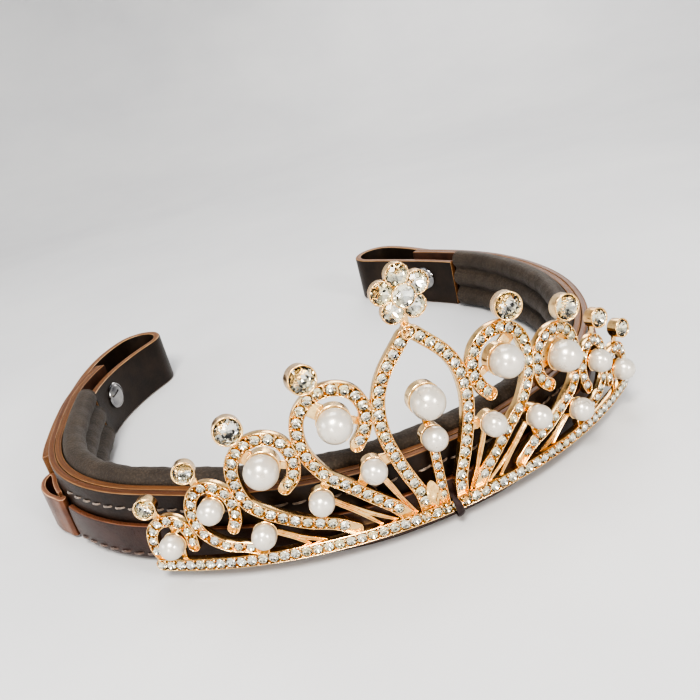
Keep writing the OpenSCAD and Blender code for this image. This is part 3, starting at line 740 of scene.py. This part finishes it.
# ------------------------------------------------------------------ tiara: ribs and their stones
RIB = [(0.40, -1.80), (0.12, -1.74), (0.0, -1.55), (0.0, -0.08), (0.04, 0.05), (0.12, 0.12), (0.21, 0.10), (0.27, 0.0), (0.30, -0.15), (0.32, -0.86)]
ARCH = spline([[4.6, 1.4], [5.2, 6.7], [7.3, 12.4], [9.3, 18.7], [10.5, 24.4], [10.6, 29.5], [9.6, 34.5], [6.9, 39.5], [1.4, 45.6]], 10)
SCROLL = {
    "a": spline([[9.6, 2.3], [12, 5.6], [16, 9.5], [20.6, 14], [25.2, 18.3], [28.3, 23.9], [29.2, 29.6], [27.8, 34.9], [23.7, 38.5], [18.8, 38.9],
                 [15, 36.6], [13.3, 31.8], [14.7, 27], [17, 24]], 10),
    "b": spline([[22, 2.9], [26.4, 5.7], [32.4, 7.7], [39.4, 11.2], [44.3, 15], [46, 20.2], [45.6, 26], [42.4, 30.1], [37.8, 31.5],
                 [33.6, 29.8], [31.7, 25.4], [32.6, 20.6], [35.2, 17.9]], 10),
    "c": spline([[44.6, 2.7], [48.4, 4], [53, 5.1], [57, 8], [58.8, 12], [58.7, 16.5], [56.6, 20.2], [53.4, 21.6], [50, 20.2],
                 [48.3, 16.7], [48.5, 12.6], [49.9, 9.6]], 10),
    "d": spline([[71.2, 1.9], [72.3, 5.2], [71.6, 9.4], [69.2, 12.2], [66, 13.2], [62.9, 12], [61.3, 8.8], [61.4, 5.6]], 10),
}
STEM = np.column_stack([np.zeros(30), np.linspace(1.4, 16.6, 30)])


def rib_piece(name, path, w, k, node):
    v, f = ribbon(path * np.array([k, 1]), w, RIB)
    return Bag().add(bend(v), f).make(name, [M_GOLD], sharp=48, replaces=[node], slot="rose_gold")


def row_places(path, pitch, a, b):
    ln = lengths(path)
    run = ln[-1] - a - b
    n = int(run // pitch)
    u = a + run * np.arange(n + 1) / n
    at_u = lambda x: np.stack([np.interp(x, ln, path[:, 0]), np.interp(x, ln, path[:, 1])], -1)
    mid = (u[1:] + u[:-1]) / 2
    tan = at_u(mid + 0.2) - at_u(mid - 0.2)
    tan /= np.linalg.norm(tan, axis=1, keepdims=True)
    return at_u(u), at_u(mid), np.stack([tan[:, 1], -tan[:, 0]], -1)


def add_stone(bag, r, s, z, h, tilt=0.06, lean=None, **cut):
    v, f, kind = brilliant(r, **cut)
    v = turned(v, rng.uniform(0, math.pi), rng.normal(0, tilt), rng.normal(0, tilt))
    if lean is not None:
        v, h = (v + [0, 0, h]) @ lean.T, 0.0
    bag.add(seat(v, s, z, h), f, kind)


def add_beads(bag, mids, lat, half, r, h):
    for p, q in zip(mids, lat):
        for k in (-1, 1):
            v, f = ball(r * rng.uniform(0.9, 1.1), 8, 5)
            c = p + q * half * k
            bag.add(seat(v, c[0], c[1], h), f)


def stone_row(bag, beads, path, k, pitch, a, b, r, w):
    path = path * np.array([k, 1])
    places, mids, lat = row_places(path, pitch, a, b)
    for p in places:
        add_stone(bag, r, p[0], p[1], 0.0, crown=0.42, table=0.5)
    add_beads(beads, mids, lat, w / 2 - 0.52, 0.33, 0.06)


STONES = [M_CRYS, M_FOIL]
rail = np.column_stack([np.linspace(-72.3, 72.3, 220), np.zeros(220)])
v, f = ribbon(rail, 3.4, RIB)
Bag().add(bend(v), f).make("rail_channel", [M_GOLD], sharp=48, replaces=["base_rail"], slot="rose_gold")
stones, beads = Bag(), Bag()
for i in range(-27, 28):
    add_stone(stones, 1.3, i * 2.68, 0, 0.0, crown=0.42, table=0.5)
m = np.column_stack([(np.arange(-27, 27) + 0.5) * 2.68, np.zeros(54)])
add_beads(beads, m, np.tile([0.0, 1.0], (54, 1)), 1.2, 0.33, 0.06)
stones.make("rail_crystals", STONES, smooth=False, replaces=["rail_stones"], slot="crystal")
beads.make("rail_beads", [M_GOLD], slot="rose_gold")

stones, beads = Bag(), Bag()
for side, k in (("left", -1), ("right", 1)):
    rib_piece(f"arch_rib_{side}", ARCH, 3.3, k, f"arch_{side}")
    stone_row(stones, beads, ARCH, k, 2.9, 3, 1.5, 1.27, 3.3)
stones.make("arch_crystals", STONES, smooth=False, replaces=["arch_stones"], slot="crystal")
beads.make("arch_beads", [M_GOLD], slot="rose_gold")

for side, k in (("left", -1), ("right", 1)):
    stones, beads = Bag(), Bag()
    for r, pitch, a, b, rad, w in (("a", 2.9, 3, 1.4, 1.27, 3.3), ("b", 2.9, 3, 1.4, 1.27, 3.3), ("c", 2.8, 3, 1.3, 1.18, 3.1), ("d", 2.7, 2.6, 1.3, 1.18, 3.1)):
        rib_piece(f"scroll_rib_{r}_{side}", SCROLL[r], w, k, f"scroll_{r}_{side}")
        stone_row(stones, beads, SCROLL[r], k, pitch, a, b, rad, w)
    stones.make(f"scroll_crystals_{side}", STONES, smooth=False, replaces=[f"scroll_stones_{side}"], slot="crystal")
    beads.make(f"scroll_beads_{side}", [M_GOLD], slot="rose_gold")
    webs = Bag()
    for link, w in (([[10.7, 31.3], [11.9, 31.6], [13.3, 31.8]], [2.4, 3.8, 2.6]), ([[28.8, 25.2], [30.1, 25.3], [31.6, 25.2]], [2.4, 3.2, 2.4]),
                    ([[45.3, 16.9], [46.7, 16.8], [48.2, 16.8]], [2.3, 3.0, 2.3])):
        q = spline(link, 6) * np.array([k, 1])
        v, f = ribbon(q, np.interp(np.linspace(0, 1, len(q)), [0, 0.5, 1], w), [(0.35, -1.75), (0, -1.5), (0, -1.05), (0.3, -0.92)])
        webs.add(bend(v), f)
    webs.make(f"scroll_webs_{side}", [M_GOLD], sharp=48, slot="rose_gold")

rib_piece("stem_rib", STEM, 2.5, 1, "centre_stem")
stones, beads = Bag(), Bag()
for z in (4.2, 6.8, 9.4, 12, 14.6):
    add_stone(stones, 0.95, 0, z, 0.0, crown=0.42, table=0.5)
add_beads(beads, np.array([[0, z] for z in (5.5, 8.1, 10.7, 13.3)]), np.tile([1.0, 0.0], (4, 1)), 0.80, 0.26, 0.1)
stones.make("stem_crystals", STONES, smooth=False, replaces=["stem_stones"], slot="crystal")
beads.make("stem_beads", [M_GOLD], slot="rose_gold")


def leaf():
    """Folded, crumpled leaf left of the stem."""
    nu, nv = 22, 13
    u, v = np.meshgrid(np.linspace(0, 1, nu), np.linspace(-1, 1, nv), indexing="ij")
    half = 0.40 + 1.30 * np.sin(math.pi * np.clip(u * 0.96 + 0.04, 0, 1)) ** 0.75
    half[-1] = 0.15
    s = -2.3 - 0.45 * u + v * half
    z = 1.2 + 8.0 * u
    ridge = 0.55 * (1 - np.abs(v)) + 0.20 * np.sin(8 * u + 3 * v) + 0.15 * np.sin(17 * u - 5 * v) + 0.10 * np.cos(13 * v + 4 * u)
    h = np.interp(u, [0, 0.12, 0.4, 1], [-1.0, -0.1, 0.35, 0.1]) + ridge * np.sin(math.pi * np.clip(u + 0.12, 0, 1)) ** 0.6
    top = np.stack([s, z, h], -1).reshape(-1, 3)
    bot = np.stack([s, z, h - 0.42], -1).reshape(-1, 3)
    n, f = nu * nv, []
    for i in range(nu - 1):
        for j in range(nv - 1):
            a = i * nv + j
            f += [[a, a + 1, a + nv + 1, a + nv], [n + a, n + a + nv, n + a + nv + 1, n + a + 1]]
    rim = [j for j in range(nv)] + [i * nv + nv - 1 for i in range(1, nu)] + [(nu - 1) * nv + j for j in range(nv - 2, -1, -1)] + [i * nv for i in range(nu - 2, 0, -1)]
    f += [[rim[i], n + rim[i], n + rim[(i + 1) % len(rim)], rim[(i + 1) % len(rim)]] for i in range(len(rim))]
    Bag().add(bend(np.vstack([top, bot])), f).make("leaf_folded", [M_LEAF], sharp=38, replaces=["leaf"], slot="rose_gold")


leaf()


# ------------------------------------------------------------------ settings: bezels, flower
def cup(bag, r, base, rim, wall, floor, s, z, seg=40, lean=None):
    """Round setting with a rolled rim."""
    a = np.radians([0, 35, 70, 110, 145, 180])
    c = r - wall / 2
    roll = [(c + wall / 2 * 1.12 * math.cos(x), rim - 0.1 + wall / 2 * 1.3 * math.sin(x)) for x in a]
    prof = [(0, base), (r - 0.55, base), (r - 0.22, base + 0.08), (r - 0.08, base + 0.32), (r - 0.06, rim - 0.55), (r - 0.02, rim - 0.32)] + roll
    prof += [(r - wall * 1.08, floor + 0.1), (r - wall * 1.3, floor), (0, floor)]
    v, f = lathe(prof, seg)
    bag.add(seat(v if lean is None else v @ lean.T, s, z, 0), f)


BEZELS = [(25, 43.3, 3.4, 24.2, 38.6), (43.6, 35.3, 3.4, 42.6, 30.6), (56.8, 26.6, 2.7, 55.8, 21.4), (70.2, 17.5, 2.7, 69.2, 12.6)]
cups, stones = Bag(), Bag()
for k in (-1, 1):
    lean = np.array(Matrix.Rotation(math.radians(-20 * k), 3, "Y") @ Matrix.Rotation(math.radians(-8), 3, "X"))
    for s, z, r, s2, z2 in BEZELS:
        cup(cups, r, -1.8, 1.45, 0.36, -0.95, k * s, z, lean=lean)
        p = np.array([[k * s, z], [k * (s * 0.45 + s2 * 0.55), z * 0.45 + z2 * 0.55], [k * s2, z2]])
        v, f = ribbon(spline(p, 6), np.interp(np.arange(13), [0, 7, 12], [3.0, 2.0, 2.6]), [(0.4, -1.78), (0, -1.5), (0, -1.1), (0.35, -0.92)])
        cups.add(bend(v), f)
        add_stone(stones, r - 0.32, k * s, z, 1.2, tilt=0.04, lean=lean, crown=0.36, depth=0.55, table=0.52)
cups.make("bezel_settings", [M_GOLD], sharp=42, replaces=["bezel_cups"], slot="rose_gold")
stones.make("bezel_crystals", STONES, smooth=False, replaces=["bezel_stones"], slot="crystal")

FLOWER_Z = 55.3
cups, stones, prongs = Bag(), Bag(), Bag()
for j in range(5):
    a = math.radians(72 * j)
    s, z = 4.2 * math.sin(a), FLOWER_Z + 4.2 * math.cos(a)
    cup(cups, 2.75, -1.4, 0.66, 0.28, -0.85, s, z)
    add_stone(stones, 2.48, s, z, 0.45, tilt=0.05, crown=0.38, depth=0.44, table=0.5)
    for da in (-34, 34, 90, 270):
        b = a + math.radians(da if abs(da) < 80 else (da - 180) * 0.72)
        q = 2.5
        v, f = ball(0.36, 10, 6)
        prongs.add(seat(v, s + q * math.sin(b), z + q * math.cos(b), 0.66), f)
cup(cups, 2.72, 1.25, 2.36, 0.24, 1.42, 0, FLOWER_Z)
v, f = lathe([(0, -1.4), (1.6, -1.4), (1.7, -1.2), (1.7, 1.4), (0, 1.4)], 28)
cups.add(seat(v, 0, FLOWER_Z, 0), f)
add_stone(stones, 2.52, 0, FLOWER_Z, 2.3, tilt=0.03, crown=0.38, depth=0.3, table=0.5)
for j in range(5):
    a = math.radians(72 * j + 36)
    v, f = ball(0.38, 10, 6)
    prongs.add(seat(v, 2.52 * math.sin(a), FLOWER_Z + 2.52 * math.cos(a), 2.34), f)
cup(cups, 1.8, -1.8, 0.34, 0.4, -0.95, 0, 46.4, seg=28)
add_stone(stones, 1.36, 0, 46.4, 0.18)
v, f = ribbon(np.column_stack([np.zeros(8), np.linspace(46.8, 51.2, 8)]), 1.9, [(0.4, -1.75), (0, -1.5), (0, -1.15), (0.35, -0.98)])
cups.add(bend(v), f)
cups.make("flower_settings", [M_GOLD], sharp=42, replaces=["flower_setting"], slot="rose_gold")
prongs.make("flower_prongs", [M_GOLD], slot="rose_gold")
stones.make("flower_crystals", STONES, smooth=False, replaces=["flower_stones"], slot="crystal")


# ------------------------------------------------------------------ pearls, their cups and wires
def plate(s, z, r0, arms, h0, h1):
    """Backing plate of a pearl cup: a disc drawn out into tapering arms, each (run, height, width at the disc, width at its tip)."""
    n = 120
    phi = np.linspace(0, 2 * math.pi, n, endpoint=False)
    rad = np.full(n, r0)
    for s2, z2, w0, w1 in arms:
        d = np.array([s2 - s, z2 - z])
        ln = np.linalg.norm(d)
        delta = np.abs((phi - math.atan2(d[1], d[0]) + math.pi) % (2 * math.pi) - math.pi)
        x = np.linspace(0, ln, 120)
        hw = w1 / 2 + (w0 - w1) / 2 * (1 - x / ln) ** 2
        for i in np.where(delta < 1.45)[0]:
            ok = x * math.tan(delta[i]) <= hw
            rad[i] = max(rad[i], x[ok].max() / math.cos(delta[i]))
    smooth = rad.copy()
    for _ in range(2):
        smooth = 0.25 * np.roll(smooth, 1) + 0.5 * smooth + 0.25 * np.roll(smooth, -1)
    rings = []
    for e, h in ((0.30, h0), (0.05, h0 + 0.1), (0.0, h0 + 0.25), (0.0, h1 - 0.22), (0.08, h1 - 0.07), (0.28, h1)):
        q = np.maximum(smooth - e, 0.2)
        rings.append(np.column_stack([s + q * np.cos(phi), z + q * np.sin(phi), np.full(n, h)]))
    v = np.vstack(rings + [[[s, z, h0]], [[s, z, h1]]])
    f = bridge(len(rings), n)
    c0, c1, last = len(rings) * n, len(rings) * n + 1, (len(rings) - 1) * n
    f += [[c0, (j + 1) % n, j] for j in range(n)] + [[c1, last + j, last + (j + 1) % n] for j in range(n)]
    return v, f


def pearl_cup(bag, r, s, z, h, ro, rim):
    """Turned cup that holds the back of a pearl."""
    top, b = rim - h, -1.78 - h
    lip = math.acos(-top / (r + 0.03))
    inner = [((r + 0.03) * math.sin(x), -(r + 0.03) * math.cos(x)) for x in np.linspace(lip, 0.2, 9)]
    v, f = lathe([(0, b), (ro - 0.5, b), (ro - 0.16, b + 0.12), (ro - 0.05, b + 0.4), (ro - 0.06, top - 0.55), (ro, top - 0.3), (ro + 0.02, top - 0.12),
                  (ro - 0.08, top), (ro - 0.2, top + 0.02)] + inner + [(0, -r - 0.03)], 48)
    bag.add(seat(v, s, z, h), f)


BIG = [(20.6, 31.8, [(26.3, 36.5, 5.0, 3.6), (14.1, 28.8, 3.4, 1.6)]), (38.4, 25, [(44.1, 28.4, 5.0, 3.6), (32.1, 22.6, 3.4, 1.6)])]
SMALL = [(14.9, 17.7, [(9, 18.2, 5.0, 2.2), (19, 12.4, 5.0, 2.2)]), (27.9, 13.4, [(25, 18, 3.8, 1.8), (28.4, 6.4, 2.6, 1.2)]),
         (42.6, 7.8, [(41, 12.2, 3.2, 1.6), (44.8, 3, 2.6, 1.2)]), (52.9, 16.4, [(53.3, 21.2, 3.2, 1.6)]), (65.6, 7.4, [(66, 12.8, 3.2, 1.6), (65.6, 0.8, 2.8, 1.4)])]
cups, big, small = Bag(), Bag(), Bag()


def add_pearl(bag, r, s, z, h):
    v, f = lathe([(r * math.sin(math.pi * i / 30), -r * math.cos(math.pi * i / 30)) if 0 < i < 30 else (0, -r if i == 0 else r) for i in range(31)], 48)
    v = v * (1 + 0.004 * np.sin(v[:, :1] * 1.3 + s) + 0.004 * np.cos(v[:, 1:2] * 1.1 + z))
    bag.add(seat(v, s, z, h), f)


def pearl_set(r, s, z, h, arms, bag):
    v, f = plate(s, z, r * 0.72, arms, -1.78, -0.98)
    cups.add(bend(v), f)
    pearl_cup(cups, r, s, z, h, *((4.0, 0.8) if r > 3.5 else (2.9, 0.6)))
    add_pearl(bag, r, s, z, h)


pearl_set(4.0, 0, 30.2, 2.8, [(0, 21.5, 3.0, 1.7)], big)
pearl_set(3.0, 0, 20.5, 2.2, [(0, 15.6, 3.0, 1.8)], small)
for k in (-1, 1):
    for s, z, arms in BIG:
        pearl_set(4.0, k * s, z, 2.8, [(k * a, b, c, d) for a, b, c, d in arms], big)
    for s, z, arms in SMALL:
        pearl_set(3.0, k * s, z, 2.2, [(k * a, b, c, d) for a, b, c, d in arms], small)
cups.make("pearl_settings", [M_GOLD], sharp=42, replaces=["pearl_cups"], slot="rose_gold")
big.make("large_pearls_nacre", [M_PEARL], replaces=["large_pearls"], slot="pearl")
small.make("small_pearls_nacre", [M_PEARL], replaces=["small_pearls"], slot="pearl")

WIRES = [(14.9, 17.7, 6.9, 1), (14.9, 17.7, 9.2, 4.4), (27.9, 13.4, 11.4, 1), (27.9, 13.4, 15.4, 1), (42.6, 7.8, 28.4, 1), (42.6, 7.8, 33, 1)]
bag = Bag()
for k in (-1, 1):
    for j, (s, z, s2, z2) in enumerate(WIRES):
        d = np.array([s2 - s, z2 - z])
        d /= np.linalg.norm(d)
        p0 = np.array([s, z]) + d * 1.9
        side = np.array([d[1], -d[0]]) * (0.35 if j % 2 else -0.35)
        p = spline([p0, (p0 + [s2, z2]) / 2 + side, [s2, z2]], 10) * np.array([k, 1])
        w = np.interp(np.linspace(0, 1, len(p)), [0, 0.25, 0.7, 1], [1.25, 1.35, 1.15, 0.8])
        v, f = ribbon(p, w, [(0.2, -1.72), (0.0, -1.5), (0.0, -0.95), (0.10, -0.78), (0.26, -0.80), (0.42, -1.08)], ncap=4)
        bag.add(bend(v), f)
bag.make("pearl_wires_grooved", [M_GOLD], sharp=48, replaces=["pearl_wires"], slot="rose_gold")

# ------------------------------------------------------------------ lace over the rail
ctrl = np.array([[2.9, -2.9, -4.6], [2.95, -2.85, -2.0], [2.95, -2.6, 0.35], [2.85, -1.5, 1.05], [2.5, 0.2, 1.2], [2.15, 1.8, 1.0], [2.0, 2.7, 0.2], [1.95, 3.3, -1.6],
                 [1.9, 3.6, -4.6]])
p = spline(ctrl, 8)
rad = np.interp(np.arange(len(p)) / 8, np.arange(9), [0.65, 0.75, 0.95, 1.08, 1.05, 0.85, 0.62, 0.6, 0.6]) * (1 + 0.06 * np.sin(np.arange(len(p)) * 0.9))
v, f = tube(bend(p), rad, 16, flat=0.5, up=(0, -1, 0.3), twist=0.5)
run = lengths(p)
run = np.repeat(np.r_[[0] * 3, run, [run[-1]] * 3], 16)
sdz = np.column_stack([run, v[:, 0], v[:, 2]])
Bag().add(v, f, 0, sdz).make("lace_leather_tie", [M_LACE], sharp=60, replaces=["lace_tie"], slot="dark_leather")

# ------------------------------------------------------------------ pieces kept from the frame
for n, mat in [("foam_core", M_FOAM)] + [(f"snap_{x}_{s}", M_NICK) for x in ("socket", "stud") for s in ("left", "right")]:
    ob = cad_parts[n]
    ob.data.materials.clear()
    ob.data.materials.append(mat)

# ------------------------------------------------------------------ floor, light and camera
fm = Mat("floor_pale")
o = fm.obj()
fm.set(Base_Color=fm.ramp(fm.noise(o, 9.0, 5.0), (0.3, (0.60, 0.60, 0.61, 1)), (0.7, (0.66, 0.66, 0.66, 1))), Roughness=fm.range(fm.noise(o, 60.0, 4.0), 0.3, 0.7, 0.7, 0.85))
prof = [(0.25, 0.0), (0.5, 0.0)] + [(0.5 + 0.6 * math.sin(a), 0.6 - 0.6 * math.cos(a)) for a in np.radians(np.arange(5, 91, 5))] + [(1.1, 1.0), (1.1, 1.6)]
me = bpy.data.meshes.new("floor")
n = 96
ring = [(math.cos(2 * math.pi * i / n), math.sin(2 * math.pi * i / n)) for i in range(n)]
verts = [(0.0, 0.0, -0.0003)] + [(q * x, q * y, z - 0.0003) for q, z in prof for x, y in ring]
faces = [[0, 1 + i, 1 + (i + 1) % n] for i in range(n)]
faces += [[1 + j * n + i, 1 + (j + 1) * n + i, 1 + (j + 1) * n + (i + 1) % n, 1 + j * n + (i + 1) % n] for j in range(len(prof) - 1) for i in range(n)]
me.from_pydata(verts, [], faces)
me.polygons.foreach_set("use_smooth", [True] * len(me.polygons))
me.materials.append(fm.m)
floor = bpy.data.objects.new("floor", me)
scene.collection.objects.link(floor)

world = bpy.data.worlds.new("studio")
world.use_nodes = True
scene.world = world
bg = world.node_tree.nodes["Background"]
bg.inputs["Color"].default_value = (0.62, 0.66, 0.72, 1)
bg.inputs["Strength"].default_value = 0.06


def light(name, direction, dist, size, power, colour=(1, 1, 1), size_y=None, target=(0.0, -0.0655, 0.035)):
    d = np.array(direction, float)
    d /= np.linalg.norm(d)
    ld = bpy.data.lights.new(name, "AREA")
    ld.shape = "RECTANGLE"
    ld.size, ld.size_y = size, size_y or size
    ld.energy = power
    ld.color = colour
    ob = bpy.data.objects.new(name, ld)
    ob.visible_camera = False
    scene.collection.objects.link(ob)
    z = d
    x = np.cross([0, 0, 1], z)
    x = x / np.linalg.norm(x) if np.linalg.norm(x) > 1e-6 else np.array([1.0, 0, 0])
    y = np.cross(z, x)
    loc = np.array(target) + d * dist
    ob.matrix_world = Matrix([[x[0], y[0], z[0], loc[0]], [x[1], y[1], z[1], loc[1]], [x[2], y[2], z[2], loc[2]], [0, 0, 0, 1]])
    return ob


light("key", (-0.225, -0.527, 0.819), 0.75, 0.26, 6.6, (1.0, 0.97, 0.92))
light("second", (0.418, -0.84, 0.40), 0.85, 0.16, 3.0, (1.0, 0.98, 0.96))
light("overhead", (0.1, 0.35, 1.0), 0.95, 0.6, 3.4, (0.95, 0.97, 1.0), size_y=0.4)
light("left_fill", (-1.0, 0.05, 0.45), 0.9, 0.45, 1.6, (0.96, 0.98, 1.0), size_y=0.25)
light("back_rim", (0.55, 1.0, 0.55), 1.0, 0.4, 1.8, (1.0, 0.97, 0.94))
light("front_card", (-0.05, -0.9, 0.72), 0.95, 1.07, 0.9, (1.0, 0.985, 0.96), size_y=0.66)
light("low_front", (-0.55, -0.80, 0.22), 0.80, 0.10, 1.2, (1.0, 0.97, 0.92))

scene.view_settings.look = "AgX - High Contrast"

cam = bpy.data.cameras.new("camera")
cam.sensor_width = 36.0
cam.lens = 750 / 700 * 36
cam.clip_start = 0.005
ob = bpy.data.objects.new("camera", cam)
scene.collection.objects.link(ob)
R, D, F = (0.9209, -0.3142, -0.2306), (-0.3280, -0.3054, -0.8940), (0.2105, 0.8988, -0.3843)
ob.matrix_world = Matrix([[R[i], -D[i], -F[i], (-0.0428, -0.22985, 0.11275)[i]] for i in range(3)] + [[0, 0, 0, 1]])
scene.camera = ob
